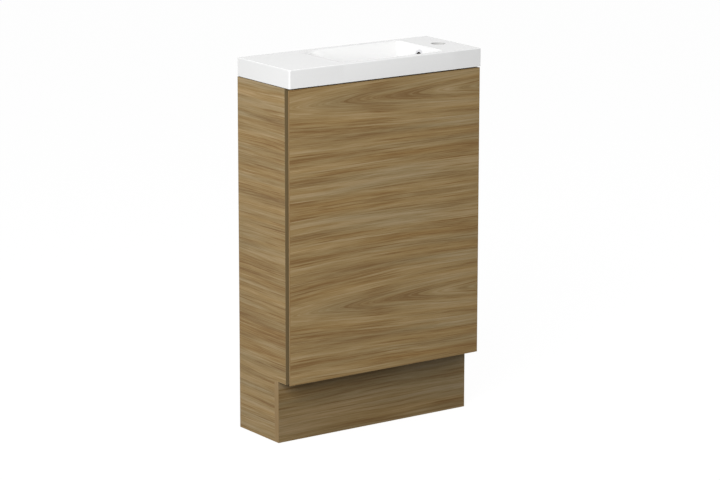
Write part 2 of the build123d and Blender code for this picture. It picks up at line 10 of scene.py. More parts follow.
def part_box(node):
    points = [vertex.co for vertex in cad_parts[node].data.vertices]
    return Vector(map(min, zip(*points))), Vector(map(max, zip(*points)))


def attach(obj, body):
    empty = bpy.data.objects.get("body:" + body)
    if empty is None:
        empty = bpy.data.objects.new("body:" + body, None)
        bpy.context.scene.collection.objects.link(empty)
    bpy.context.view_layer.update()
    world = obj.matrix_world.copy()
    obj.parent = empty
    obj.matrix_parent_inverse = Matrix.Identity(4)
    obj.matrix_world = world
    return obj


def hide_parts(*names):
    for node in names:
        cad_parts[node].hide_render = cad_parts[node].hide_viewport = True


bl_info = {
    "name": "Slim vanity unit",
    "version": (1, 0, 0),
    "blender": (4, 5, 0),
    "location": "View3D > Sidebar > Vanity",
    "description": "Finishes a slim bathroom vanity: its boards, basin top, fittings and studio",
    "category": "Object",
}

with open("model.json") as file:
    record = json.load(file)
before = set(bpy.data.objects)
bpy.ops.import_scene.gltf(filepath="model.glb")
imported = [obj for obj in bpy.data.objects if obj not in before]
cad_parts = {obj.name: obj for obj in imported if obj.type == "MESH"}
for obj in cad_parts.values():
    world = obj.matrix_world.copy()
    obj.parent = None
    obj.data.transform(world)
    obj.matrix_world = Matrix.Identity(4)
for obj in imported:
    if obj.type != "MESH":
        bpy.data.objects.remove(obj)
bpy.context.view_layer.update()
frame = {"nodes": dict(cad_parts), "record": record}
nodes = frame["nodes"]
MM = 0.001


# Sizes and colours that a user would change

class VanityStudio(bpy.types.PropertyGroup):
    """Camera, lamps and floor."""

    camera_place: FloatVectorProperty(
        name="Camera place", description="Where the camera stands", size=3,
        default=(-4.1369, -5.8884, 2.1120), subtype="TRANSLATION", unit="LENGTH")
    camera_yaw: FloatProperty(
        name="Yaw", description="How far the view turns to the right of straight back",
        default=math.radians(35.090), subtype="ANGLE", unit="ROTATION")
    camera_pitch: FloatProperty(
        name="Pitch", description="How far the view looks down",
        default=math.radians(13.038), subtype="ANGLE", unit="ROTATION")
    camera_roll: FloatProperty(
        name="Roll", description="How far the view leans over",
        default=math.radians(0.070), subtype="ANGLE", unit="ROTATION")
    lens: FloatProperty(
        name="Lens", description="Focal length on a 36 mm wide sensor, in millimetres",
        default=154.30, min=10)
    sky: FloatProperty(
        name="Sky", description="Strength of the even light from all round", default=0.51, min=0)
    left: FloatProperty(
        name="Left lamp", description="Power of the large lamp on the left",
        default=108.0, min=0, subtype="POWER", unit="POWER")
    right: FloatProperty(
        name="Right lamp", description="Power of the large lamp on the right",
        default=13.0, min=0, subtype="POWER", unit="POWER")
    floor_colour: FloatVectorProperty(
        name="Floor", description="Colour of the studio floor", size=3,
        default=(0.10, 0.10, 0.10), subtype="COLOR", min=0, max=1)


class VanityWood(bpy.types.PropertyGroup):
    """Colours and scale of the wood print."""

    middle: FloatVectorProperty(
        name="Middle", description="Ground colour of the print", size=3,
        default=(0.320, 0.221, 0.098), subtype="COLOR", min=0, max=1)
    dark: FloatVectorProperty(
        name="Dark", description="Colour of the print's darkest grain lines", size=3,
        default=(0.218, 0.124, 0.047), subtype="COLOR", min=0, max=1)
    pale: FloatVectorProperty(
        name="Pale", description="Colour of the print's lightest streaks", size=3,
        default=(0.418, 0.303, 0.167), subtype="COLOR", min=0, max=1)
    band: FloatVectorProperty(
        name="Edge band", description="Colour of the edge bands", size=3,
        default=(0.330, 0.205, 0.090), subtype="COLOR", min=0, max=1)
    # Painted shade: the side panels' front edge bands lie in the slot behind the door's edge, and
    # this dark colour stands for the shade there
    painted_recess_shade: FloatVectorProperty(
        name="Recess band", description="Colour of the dark bands behind the door's edge", size=3,
        default=(0.165, 0.125, 0.066), subtype="COLOR", min=0, max=1)
    ring_pitch: FloatProperty(
        name="Ring spacing", description="Spacing of the printed growth rings",
        default=0.008, min=0.002, subtype="DISTANCE", unit="LENGTH")
    repeat: FloatProperty(
        name="Repeat", description="Height after which the print's flame comes again",
        default=0.499, min=0.05, subtype="DISTANCE", unit="LENGTH")


class VanityBasin(bpy.types.PropertyGroup):
    """Basin top."""

    white: FloatVectorProperty(
        name="White", description="Colour of the basin's gloss coat", size=3,
        default=(0.86, 0.86, 0.856), subtype="COLOR", min=0, max=1)
    # Painted shade: this grey on the tap hole's wall stands for the shade inside the hole
    painted_bore_shade: FloatVectorProperty(
        name="Casting", description="Colour of the bare casting inside the tap hole", size=3,
        default=(0.66, 0.66, 0.65), subtype="COLOR", min=0, max=1)
    ramp_softness: FloatProperty(
        name="Ramp softness", description="Depth over which the ledge turns into the ramp",
        default=0.007, min=0.001, max=0.007, subtype="DISTANCE", unit="LENGTH")
    rim_softness: FloatProperty(
        name="Rim softness", description="Depth over which the rim turns into the bowl's walls",
        default=0.005, min=0.001, max=0.01, subtype="DISTANCE", unit="LENGTH")


# Node trees

class Tree:
    """A material's node tree, with one short call for each kind of node it uses."""

    def __init__(self, name):
        self.material = bpy.data.materials.new(name)
        self.material.use_nodes = True
        self.tree = self.material.node_tree
        self.shader = self.tree.nodes["Principled BSDF"]

    def node(self, kind, **settings):
        made = self.tree.nodes.new(kind)
        for key, value in settings.items():
            setattr(made, key, value)
        return made

    def feed(self, socket, value):
        """Link a socket, or set it where the value is a plain number or colour."""
        if isinstance(value, bpy.types.NodeSocket):
            self.tree.links.new(value, socket)
        elif socket.type == "RGBA" and len(value) == 3:
            socket.default_value = (*value, 1)
        else:
            socket.default_value = value

    def object_point(self):
        return self.node("ShaderNodeTexCoord").outputs["Object"]

    def mapped(self, point, rotation=(0, 0, 0), location=(0, 0, 0)):
        made = self.node("ShaderNodeMapping")
        self.feed(made.inputs["Vector"], point)
        made.inputs["Rotation"].default_value = rotation
        made.inputs["Location"].default_value = location
        return made.outputs["Vector"]

    def vector(self, operation, a, b):
        made = self.node("ShaderNodeVectorMath", operation=operation)
        self.feed(made.inputs[0], a)
        self.feed(made.inputs[1], b)
        return made.outputs["Vector"]

    def split(self, point):
        made = self.node("ShaderNodeSeparateXYZ")
        self.feed(made.inputs[0], point)
        return made.outputs[0], made.outputs[1], made.outputs[2]

    def join(self, x, y, z):
        made = self.node("ShaderNodeCombineXYZ")
        for socket, value in zip(made.inputs, (x, y, z)):
            self.feed(socket, value)
        return made.outputs[0]

    def math(self, operation, a, b=0.0, clamp=False):
        made = self.node("ShaderNodeMath", operation=operation, use_clamp=clamp)
        self.feed(made.inputs[0], a)
        self.feed(made.inputs[1], b)
        return made.outputs[0]

    def noise(self, point, scale, detail=2.0, roughness=0.5, distortion=0.0):
        """Noise whose scale is given separately along x, y and z, in waves per metre."""
        made = self.node("ShaderNodeTexNoise")
        self.feed(made.inputs["Vector"], self.vector("MULTIPLY", point, scale))
        made.inputs["Scale"].default_value = 1.0
        made.inputs["Detail"].default_value = detail
        made.inputs["Roughness"].default_value = roughness
        made.inputs["Distortion"].default_value = distortion
        return made.outputs["Fac"]

    def range(self, value, low, high, to_low=0.0, to_high=1.0, smooth=True):
        kind = "SMOOTHSTEP" if smooth else "LINEAR"
        made = self.node("ShaderNodeMapRange", interpolation_type=kind)
        for key, number in (("Value", value), ("From Min", low), ("From Max", high),
                            ("To Min", to_low), ("To Max", to_high)):
            self.feed(made.inputs[key], number)
        return made.outputs["Result"]

    def mix(self, share, a, b, blend="MIX"):
        made = self.node("ShaderNodeMix", data_type="RGBA", blend_type=blend)
        self.feed(made.inputs["Factor"], share)
        self.feed(made.inputs[6], a)
        self.feed(made.inputs[7], b)
        return made.outputs[2]

    def bump(self, height, distance, strength=1.0):
        made = self.node("ShaderNodeBump")
        made.inputs["Distance"].default_value = distance
        made.inputs["Strength"].default_value = strength
        self.feed(made.inputs["Height"], height)
        self.feed(self.shader.inputs["Normal"], made.outputs["Normal"])

    def set(self, **values):
        for key, value in values.items():
            self.feed(self.shader.inputs[key.replace("_", " ")], value)


def paint(names, material):
    """Give each named CAD node one material."""
    for name in names:
        slots = nodes[name].data.materials
        slots.clear()
        slots.append(material)


# Turns that bring a board's grain onto the pattern's own x, by the axis the grain runs along
GRAIN_TURN = {"X": (0, 0, 0), "Y": (0, 0, -math.pi / 2), "Z": (0, math.pi / 2, 0)}

# Noise that bends the rings: its waves per metre, its detail, and how far it moves them
RING_BENDS = (
    ((1.1, 3.0, 3.0), 2, 0.048),
    ((3.4, 14, 14), 2, 0.007),
    ((11, 40, 40), 1, 0.0010),
)
# The e and the reach of ring_number's formula: how blunt a flame's tip is, and how fast its
# arches fade above and below its middle line
FLAME_TIP, FLAME_REACH = 0.006, 0.085

# Noise streaks of the print: waves per metre along the grain, waves per ring, the streaks'
# place in the noise, and their weight in the tone
STREAKS = (
    (0.9, 0.14, 0.0, 2.2),
    (2.6, 0.45, 5.3, 2.5),
    (5.0, 1.6, 9.7, 1.9),
    (9.0, 5.0, 21.3, 1.9),
)
FIBRE_WEIGHT, RUSSET_WEIGHT, LIGHT_WEIGHT, PORE_WEIGHT = 1.3, 0.80, 0.70, 0.25

# The print's gloss, its worn border, and the chipboard on raw edges
PRINT_SPECULAR = 0.12
WORN_WIDTH, WORN_SHARE = 1.2 * MM, 0.35
RAW_DEPTH = 0.05 * MM
CHIPS_PER_METRE, CHIP_PALE, CHIP_DARK = 420.0, (0.50, 0.36, 0.20), (0.24, 0.15, 0.075)


def grain_point(tree, grain, shift):
    """Object coordinates turned so that x runs along the grain, then shifted."""
    return tree.mapped(tree.object_point(), GRAIN_TURN[grain], shift)


def ring_number(tree, point, wood, flame):
    """Which growth ring a point of the print lies on.

    With h the height from the flame's middle line, e FLAME_TIP, reach FLAME_REACH and r
    the ring spacing, it is
    root(h squared + e squared) / r, less a share of the length along the grain that
    fades as exp(-(h / reach) squared), so that the rings open in nested arches towards
    +x near the middle line and run level away from it. Slow noise bends them.
    """
    along, _, up = tree.split(point)
    for scale, detail, reach in RING_BENDS:
        bend = tree.math("SUBTRACT", tree.noise(point, scale, detail), 0.5)
        up = tree.math("ADD", up, tree.math("MULTIPLY", bend, reach))
    if flame is None:
        return tree.math("DIVIDE", up, wood.ring_pitch)
    start, middle, slope = flame
    height = tree.node("ShaderNodeMath", operation="WRAP")
    tree.feed(height.inputs[0], tree.math("SUBTRACT", up, middle))
    tree.feed(height.inputs[1], wood.repeat / 2)
    tree.feed(height.inputs[2], -wood.repeat / 2)
    square = tree.math("POWER", tree.math("ABSOLUTE", height.outputs[0]), 2.0)
    rings = tree.math("SQRT", tree.math("ADD", square, FLAME_TIP ** 2))
    fade = tree.math("EXPONENT", tree.math("MULTIPLY", square, -1 / FLAME_REACH ** 2))
    opening = tree.math("MULTIPLY", tree.math("SUBTRACT", along, start), slope)
    opening = tree.math("MULTIPLY", tree.math("MAXIMUM", opening, 0.0), fade)
    return tree.math("DIVIDE", tree.math("SUBTRACT", rings, opening), wood.ring_pitch)


def wood_print(tree, point, wood, flame=None, contrast=1.0):
    """Colour and relief of the wood print.

    Its streaks are noise over (length along the grain, ring number), so they follow the
    rings. Together they give a tone from -1 to 1, which runs from the dark colour over
    the middle one to the pale one. Its fibres and pores are noise drawn out straight
    along the grain.
    """
    along, depth, _ = tree.split(point)
    ring = ring_number(tree, point, wood, flame)
    flow = tree.join(along, depth, ring)

    def streak(along_scale, ring_scale, offset, detail=2.0):
        place = tree.vector("ADD", flow, (offset, 0.37 * offset, 1.9 * offset))
        return tree.noise(place, (along_scale, 8.0, ring_scale), detail, 0.55)

    fibre = tree.noise(point, (26, 800, 800), 2, 0.6)
    pores = tree.range(tree.noise(point, (60, 2200, 2200), 1), 0.64, 0.76)
    layers = [(streak(*place), weight) for *place, weight in STREAKS]
    tone = 0.0
    for layer, weight in (*layers, (fibre, FIBRE_WEIGHT)):
        off_middle = tree.math("SUBTRACT", layer, 0.5)
        tone = tree.math("ADD", tone, tree.math("MULTIPLY", off_middle, weight))
    russet = tree.range(streak(4.0, 1.9, 13.1, 3.0), 0.56, 0.67)
    light = tree.range(streak(4.5, 2.2, 17.9, 3.0), 0.57, 0.69)
    tone = tree.math("SUBTRACT", tone, tree.math("MULTIPLY", russet, RUSSET_WEIGHT))
    tone = tree.math("ADD", tone, tree.math("MULTIPLY", light, LIGHT_WEIGHT))
    tone = tree.math("SUBTRACT", tone, tree.math("MULTIPLY", pores, PORE_WEIGHT))
    tone = tree.math("MULTIPLY", tone, contrast)
    colour = tree.mix(tree.range(tone, -1, 0, 1, 0, smooth=False), wood.middle, wood.dark)
    colour = tree.mix(tree.range(tone, 0, 1, smooth=False), colour, wood.pale)
    warmth = tree.math("SUBTRACT", streak(1.6, 0.3, 29.7), 0.5)
    tint = tree.join(tree.math("ADD", 1.0, tree.math("MULTIPLY", warmth, 0.25)), 1.0,
                     tree.math("SUBTRACT", 1.0, tree.math("MULTIPLY", warmth, 0.45)))
    colour = tree.mix(1.0, colour, tint, "MULTIPLY")
    relief = tree.math("SUBTRACT", fibre, tree.math("MULTIPLY", pores, 0.6))
    return colour, relief


def near(tree, coordinate, places, width):
    """1 within a width of any of the places along one coordinate, and 0 elsewhere."""
    total = None
    for place in places:
        off = tree.math("ABSOLUTE", tree.math("SUBTRACT", coordinate, place))
        hit = tree.math("LESS_THAN", off, width)
        total = hit if total is None else tree.math("MAXIMUM", total, hit)
    return total


def board_material(name, node, grain, shift, raw_axis=None, worn=(), flame=None, shade=1.0):
    """Wood print on a board, raw chipboard on its unbanded edges.

    raw_axis is the axis whose two end faces are raw, and worn holds the axes at whose
    ends the print has a faint darker border. A shade under 1 makes the whole print
    darker, as painted shade for a shadow that falls on the board.
    """
    wood = bpy.context.scene.vanity_wood
    tree = Tree(name)
    colour, relief = wood_print(tree, grain_point(tree, grain, shift), wood, flame)
    # Painted shade: a shade under 1 darkens the whole print, standing for a shadow cast on the
    # board
    if shade < 1:
        colour = tree.mix(1.0, colour, (shade, shade, shade), "MULTIPLY")
    low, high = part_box(node)
    axes = dict(zip("XYZ", tree.split(tree.object_point())))
    for axis in worn:
        i = "XYZ".index(axis)
        border = near(tree, axes[axis], (low[i], high[i]), WORN_WIDTH)
        colour = tree.mix(tree.math("MULTIPLY", border, WORN_SHARE), colour, wood.dark)
    if raw_axis:
        i = "XYZ".index(raw_axis)
        raw = near(tree, axes[raw_axis], (low[i], high[i]), RAW_DEPTH)
        chips = tree.node("ShaderNodeTexVoronoi", feature="F1")
        chips.inputs["Scale"].default_value = CHIPS_PER_METRE
        tree.feed(chips.inputs["Vector"], tree.object_point())
        chip = tree.mix(tree.range(chips.outputs["Distance"], 0.1, 0.7), CHIP_PALE, CHIP_DARK)
        colour = tree.mix(raw, colour, chip)
    tree.set(Base_Color=colour, Roughness=0.48)
    tree.shader.inputs["Specular IOR Level"].default_value = PRINT_SPECULAR
    tree.bump(relief, 0.04 * MM, 0.6)
    return tree.material


def band_material(name, grain, shift, stain, share=0.45):
    """Printed edge band: the same grain in less contrast, stained towards one colour."""
    wood = bpy.context.scene.vanity_wood
    tree = Tree(name)
    colour, relief = wood_print(tree, grain_point(tree, grain, shift), wood, contrast=0.7)
    colour = tree.mix(share, colour, stain)
    tree.set(Base_Color=colour, Roughness=0.42)
    tree.shader.inputs["Specular IOR Level"].default_value = PRINT_SPECULAR
    tree.bump(relief, 0.03 * MM, 0.5)
    return tree.material


def plain_finish(name, colour, roughness, metallic=0.0, mottle=0.03, grain=900.0, relief=0.01,
                 coat=0.0):
    """A moulded, plated or cast finish with a fine mottle in its colour, gloss and relief."""
    tree = Tree(name)
    fine = tree.noise(tree.object_point(), (grain, grain, grain), 3, 0.6)
    shade = tree.range(fine, 0.25, 0.75, 1 - mottle, 1 + mottle, smooth=False)
    tree.set(Base_Color=tree.mix(1.0, colour, tree.join(shade, shade, shade), "MULTIPLY"))
    tree.set(Roughness=tree.range(fine, 0.2, 0.8, roughness * 0.85, roughness * 1.15,
                                  smooth=False))
    tree.shader.inputs["Metallic"].default_value = metallic
    tree.shader.inputs["Coat Weight"].default_value = coat
    tree.bump(fine, relief * MM, 0.5)
    return tree


def gloss_white(name, basin):
    """The basin's gel coat."""
    return plain_finish(name, basin.white, 0.22, mottle=0.006, grain=350.0, relief=0.004,
                        coat=0.3)


# Meshes

def mesh_piece(name, points, faces, material, body, slot, replaces):
    """A new piece from points and faces in the row frame, shaded smooth but at its edges."""
    mesh = bpy.data.meshes.new(name)
    mesh.from_pydata(points.tolist(), [], faces.tolist())
    mesh.polygons.foreach_set("use_smooth", np.ones(len(faces), bool))
    mesh.set_sharp_from_angle(angle=math.radians(40))
    mesh.materials.append(material)
    piece = bpy.data.objects.new(name, mesh)
    bpy.context.scene.collection.objects.link(piece)
    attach(piece, body)
    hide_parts(*replaces)
    return piece


def soft_part(value, reach):
    """The value where it is above reach, 0 below -reach, and a parabola between them."""
    blend = (value + reach) ** 2 / (4 * reach)
    return np.where(value > reach, value, np.where(value < -reach, 0.0, blend))


# Bowl, in metres: the ends of its length of the top, its rim and floor in plan, its levels,
# and its wall's outside
MIDDLE_X = (-0.1245, 0.1943)
RIM_X, RIM_Y, RIM_Z = (-0.1085, 0.1783), 0.093, 0.900
FLOOR_X, FLOOR_Y, FLOOR_Z = (0.0733, 0.1573), 0.052, 0.818
OUTSIDE_GROWTH, OUTSIDE_HIGH, OUTSIDE_LOW, PLATE_Z = 0.008, 0.8975, 0.806, 0.892
APRON_Y, APRON_Z, APRON_INNER_Y, EDGE_RADIUS = 0.110, 0.856, 0.102, 0.0025
WASTE_X, RECESS_RADIUS, RECESS_Z, WASTE_HOLE = 0.1113, 0.03105, 0.814, 0.023
OVERFLOW_Z, OVERFLOW_RADIUS = 0.874, 0.0115
WASTE_BLOCK_X, WASTE_BLOCK_Y = (0.0778, 0.1448), 0.0335
OVERFLOW_BLOCK_X, OVERFLOW_BLOCK_Y = (0.1677, 0.1749), 0.0145
OVERFLOW_OUTSIDE_X, FLAT_END_X = (0.1772, 0.1844), 0.150

# How softly each wall of the bowl turns into the floor, and the power that joins the walls
RAMP_TURN, RIGHT_TURN, SIDE_TURN, CORNER_POWER = 0.002, 0.020, 0.012, 5
# Between these places the ramp's softness passes into the rim's
SOFT_X = (-0.070, -0.020)
# Softness of the turn from the underside's flat plate into the bowl's outside
UNDERSIDE_SOFTNESS = 0.003
# Places where the surface's grid changes its spacing: along the top by the ramp's start, the
# ramp's foot and the rim's right end, and across it on both sides of the rim and of the floor
RAMP_FINE_X, FOOT_FINE_X, RIM_FINE_X = -0.085, 0.068, 0.184
RIM_FINE_Y, FOOT_FINE_Y = (0.099, 0.086), (0.060, 0.042)


def bowl_level(x, y, cap, high, low, grow, softness):
    """Level of the bowl's surface over any point in plan.

    Each sloping wall stands above the floor by what its own slope gives, turned softly
    into the floor. The walls are joined as the fifth root of the sum of their fifth
    powers, which rounds the upright corners, and the result turns softly into the cap
    level at the rim.
    """
    rise = high - low
    left = (RIM_X[0] - grow, FLOOR_X[0] - grow)
    right = (RIM_X[1] + grow, FLOOR_X[1] + grow)
    side = (RIM_Y + grow, FLOOR_Y + grow)
    walls = (
        (rise * (left[1] - x) / (left[1] - left[0]), RAMP_TURN),
        (rise * (x - right[1]) / (right[0] - right[1]), RIGHT_TURN),
        (rise * (np.abs(y) - side[1]) / (side[0] - side[1]), SIDE_TURN),
    )
    powers = sum(soft_part(wall, turn) ** CORNER_POWER for wall, turn in walls)
    above = powers ** (1 / CORNER_POWER)
    return cap - soft_part(cap - low - above, softness)


def stations(*spans):
    """Places along an axis from (start, end, cells) spans that follow on from each other."""
    runs = [np.linspace(start, end, cells, endpoint=False) for start, end, cells in spans]
    return np.concatenate([*runs, [spans[-1][1]]])


def place_of(values, value):
    return int(np.argmin(np.abs(values - value)))


def loop_round(index, i0, i1, j0, j1):
    """Numbers of the grid points round a block, anticlockwise seen from above."""
    return np.concatenate([index[i0:i1, j0], index[i1, j0:j1], index[i1:i0:-1, j1],
                           index[i0, j1:j0:-1]])


def strip(loop_a, loop_b):
    """Quads between two closed loops of as many points."""
    return np.stack([loop_a, np.roll(loop_a, -1), np.roll(loop_b, -1), loop_b], -1)


def bowl_surface(basin):
    """The basin top's middle length as one closed surface.

    Two sheets share one grid: the upper one runs from the foot of the front apron over
    the rim and through the bowl to the foot of the back apron, and the lower one follows
    the hollow underside. The sheets are joined round their border, and by sleeves through
    the waste hole and the overflow hole. A sleeve starts on the border of a block of the
    grid and narrows radially to the hole's circle.
    """
    x = stations((MIDDLE_X[0], RAMP_FINE_X, 26), (RAMP_FINE_X, FOOT_FINE_X, 30),
                 (FOOT_FINE_X, WASTE_BLOCK_X[0], 8), (*WASTE_BLOCK_X, 20),
                 (WASTE_BLOCK_X[1], FLAT_END_X, 3), (FLAT_END_X, OVERFLOW_BLOCK_X[0], 24),
                 (*OVERFLOW_BLOCK_X, 12), (OVERFLOW_BLOCK_X[1], RIM_FINE_X, 26),
                 (RIM_FINE_X, MIDDLE_X[1], 6))
    flat_y = APRON_Y - EDGE_RADIUS
    y = stations((-flat_y, -RIM_FINE_Y[0], 3), (-RIM_FINE_Y[0], -RIM_FINE_Y[1], 16),
                 (-RIM_FINE_Y[1], -FOOT_FINE_Y[0], 12), (-FOOT_FINE_Y[0], -FOOT_FINE_Y[1], 12),
                 (-FOOT_FINE_Y[1], -WASTE_BLOCK_Y, 3), (-WASTE_BLOCK_Y, -OVERFLOW_BLOCK_Y, 7),
                 (-OVERFLOW_BLOCK_Y, 0, 5))
    y = np.concatenate([y, -y[-2::-1]])
    turn = np.linspace(0, math.pi / 2, 6)[:-1]
    arc_y = np.concatenate([[0], EDGE_RADIUS * (1 - np.cos(turn))]) - APRON_Y
    arc_z = np.concatenate([[APRON_Z], RIM_Z - EDGE_RADIUS * (1 - np.sin(turn))])
    rows = len(arc_y)

    softness = np.interp(x, SOFT_X, (basin.ramp_softness, basin.rim_softness))
    grid_x, grid_y = np.meshgrid(x, np.concatenate([arc_y, y, -arc_y[::-1]]), indexing="ij")
    upper_z = bowl_level(grid_x, grid_y, RIM_Z, RIM_Z, FLOOR_Z, 0.0, softness[:, None])
    upper_z[:, :rows], upper_z[:, -rows:] = arc_z, arc_z[::-1]

    # The sloping wall's outside stands further right than its inside
    lower_x = np.interp(x, (MIDDLE_X[0], FLAT_END_X, *OVERFLOW_BLOCK_X, MIDDLE_X[1]),
                        (MIDDLE_X[0], FLAT_END_X, *OVERFLOW_OUTSIDE_X, MIDDLE_X[1]))
    hollow_y = np.concatenate([[-APRON_INNER_Y, -APRON_INNER_Y],
                               np.linspace(-APRON_INNER_Y, y[1], rows + 1)[1:-1]])
    lower_y = np.concatenate([hollow_y, y[1:-1], -hollow_y[::-1]])
    under_x, under_y = np.meshgrid(lower_x, lower_y, indexing="ij")
    under_z = bowl_level(under_x, under_y, PLATE_Z, OUTSIDE_HIGH, OUTSIDE_LOW,
                         OUTSIDE_GROWTH, UNDERSIDE_SOFTNESS)
    under_z[:, 0] = under_z[:, -1] = APRON_Z
    upper = np.stack([grid_x, grid_y, upper_z], -1)
    lower = np.stack([under_x, under_y, under_z], -1)

    shape = grid_x.shape
    count = grid_x.size
    top = np.arange(count).reshape(shape)
    under = top + count
    quads = np.stack([top[:-1, :-1], top[1:, :-1], top[1:, 1:], top[:-1, 1:]], -1)
    kept = np.ones(quads.shape[:2], bool)
    all_y = grid_y[0]
    blocks = [
        (place_of(x, bx[0]), place_of(x, bx[1]), place_of(all_y, -by), place_of(all_y, by))
        for bx, by in ((WASTE_BLOCK_X, WASTE_BLOCK_Y), (OVERFLOW_BLOCK_X, OVERFLOW_BLOCK_Y))
    ]
    for i0, i1, j0, j1 in blocks:
        kept[i0:i1, j0:j1] = False
    quads = quads[kept]
    border = (0, shape[0] - 1, 0, shape[1] - 1)
    faces = [quads, quads[:, ::-1] + count, strip(loop_round(under, *border),
                                                  loop_round(top, *border))]
    points = [upper.reshape(-1, 3), lower.reshape(-1, 3)]

    def sleeve(block, rings):
        loops = [loop_round(top, *block)]
        for ring in rings:
            loops.append(np.arange(len(ring)) + sum(map(len, points)))
            points.append(ring)
        loops.append(loop_round(under, *block))
        faces.extend(strip(a, b) for a, b in zip(loops, loops[1:]))

    # The waste hole, below the recess for the waste's flange
    loop = upper.reshape(-1, 3)[loop_round(top, *blocks[0])]
    away = loop[:, :2] - (WASTE_X, 0)
    away /= np.linalg.norm(away, axis=1)[:, None]
    sleeve(blocks[0], [
        np.column_stack([(WASTE_X, 0) + radius * away, np.full(len(away), z)])
        for radius, z in ((RECESS_RADIUS, FLOOR_Z), (RECESS_RADIUS, RECESS_Z),
                          (WASTE_HOLE, RECESS_Z), (WASTE_HOLE, OUTSIDE_LOW))])

    # The overflow hole, square to the right-hand wall
    depth = RIM_Z - FLOOR_Z
    run = RIM_X[1] - FLOOR_X[1]
    centre = np.array([RIM_X[1] - (RIM_Z - OVERFLOW_Z) * run / depth, 0, OVERFLOW_Z])
    loop = upper.reshape(-1, 3)[loop_round(top, *blocks[1])]
    away = loop - centre
    away /= np.linalg.norm(away, axis=1)[:, None]
    mouth = centre + OVERFLOW_RADIUS * away
    inward = np.array([depth, 0, -run]) / math.hypot(depth, run)
    outer_slope = (OUTSIDE_HIGH - OUTSIDE_LOW) / run
    gap = mouth[:, 2] - OUTSIDE_HIGH - outer_slope * (mouth[:, 0] - RIM_X[1] - OUTSIDE_GROWTH)
    travel = gap / (outer_slope * inward[0] - inward[2])
    sleeve(blocks[1], [mouth, mouth + travel[:, None] * inward])
    return np.concatenate(points), np.concatenate(faces)


# Operators

class VANITY_OT_boards(bpy.types.Operator):
    """Give the cabinet's boards their wood print, and its edges their bands"""

    bl_idname = "vanity.boards"
    bl_label = "Boards and edge bands"

    def execute(self, context):
        boards = (
            ("left_side_panel", "Y", (0.35, 0.0, 0.02), "Y", ()),
            ("right_side_panel", "Y", (1.45, 0.9, 0.17), "Y", ()),
            ("door_panel", "X", (0.0, 0.0, 0.0), None, ("X", "Z"), (-0.27, 0.814, 0.085)),
            # The kickboard's 0.70 is painted shade, for the shadow under the door's overhang
            ("kickboard", "X", (2.1, 0.4, 0.31), None, ("Z",), None, 0.70),
            ("bottom_panel", "X", (3.7, 0.2, 0.63), "Y", ()),
            ("shelf", "X", (4.9, 0.7, 0.21), "Y", ()),
            ("front_rail", "X", (5.3, 0.1, 0.77), "Z", ()),
            ("back_top_rail", "X", (6.2, 0.6, 0.11), "Z", ()),
            ("back_bottom_rail", "X", (7.4, 0.3, 0.47), "Z", ()),
            ("rear_foot_rail", "X", (8.6, 0.8, 0.29), "Z", ()),
        )
        for node, *look in boards:
            paint([node], board_material(f"print_{node}", node, *look))
        wood = context.scene.vanity_wood
        across = band_material("band_across", "X", (1.3, 0.2, 0.7), wood.band)
        upright = band_material("band_upright", "Z", (2.3, 0.6, 0.3), wood.band)
        # Painted shade on the side panels' front edge bands, in the slot behind the door's edge
        painted_recess_shade = band_material("band_painted_shade", "Z", (2.9, 0.1, 0.5), wood.painted_recess_shade, 0.85)
        paint(["bottom_front_band", "shelf_front_band", "door_top_band", "door_bottom_band",
               "floor_edge_bands"], across)
        paint(["kick_end_bands", "door_hinge_side_band", "door_lip_band"], upright)
        paint(["side_front_bands"], painted_recess_shade)
        return {"FINISHED"}


class VANITY_OT_basin(bpy.types.Operator):
    """Give the basin top its white gloss coat"""

    bl_idname = "vanity.basin"
    bl_label = "Basin top"

    def execute(self, context):
        basin = context.scene.vanity_basin
        white = gloss_white("basin_gloss", basin).material
        paint(["basin_left_ledge", "basin_bowl"], white)
        paint(["basin_right_ledge"], self.white_with_bore_shade(basin))
        mesh_piece("basin_middle", *bowl_surface(basin), white, "cabinet", "white_basin",
                   ["basin_bowl"])
        return {"FINISHED"}

    def white_with_bore_shade(self, basin):
        """The gloss coat, with painted shade, a flat grey, on the wall of the tap hole."""
        tap = next(m for m in frame["record"]["mounts"] if m["name"] == "tap_hole")
        tree = gloss_white("basin_gloss_bore_shade", basin)
        x, y, _ = tree.split(tree.object_point())
        across = tree.math("POWER", tree.math("SUBTRACT", x, tap["pos_m"][0]), 2.0)
        along = tree.math("POWER", tree.math("SUBTRACT", y, tap["pos_m"][1]), 2.0)
        radius = tree.math("SQRT", tree.math("ADD", across, along))
        bore_shade_mask = tree.math("LESS_THAN", radius, (tap["dims"]["r_mm"] + 0.3) * MM)
        coated = tree.shader.inputs["Base Color"].links[0].from_socket
        # Paints the shade inside the tap hole as a flat grey
        tree.set(Base_Color=tree.mix(bore_shade_mask, coated, basin.painted_bore_shade))
        return tree.material


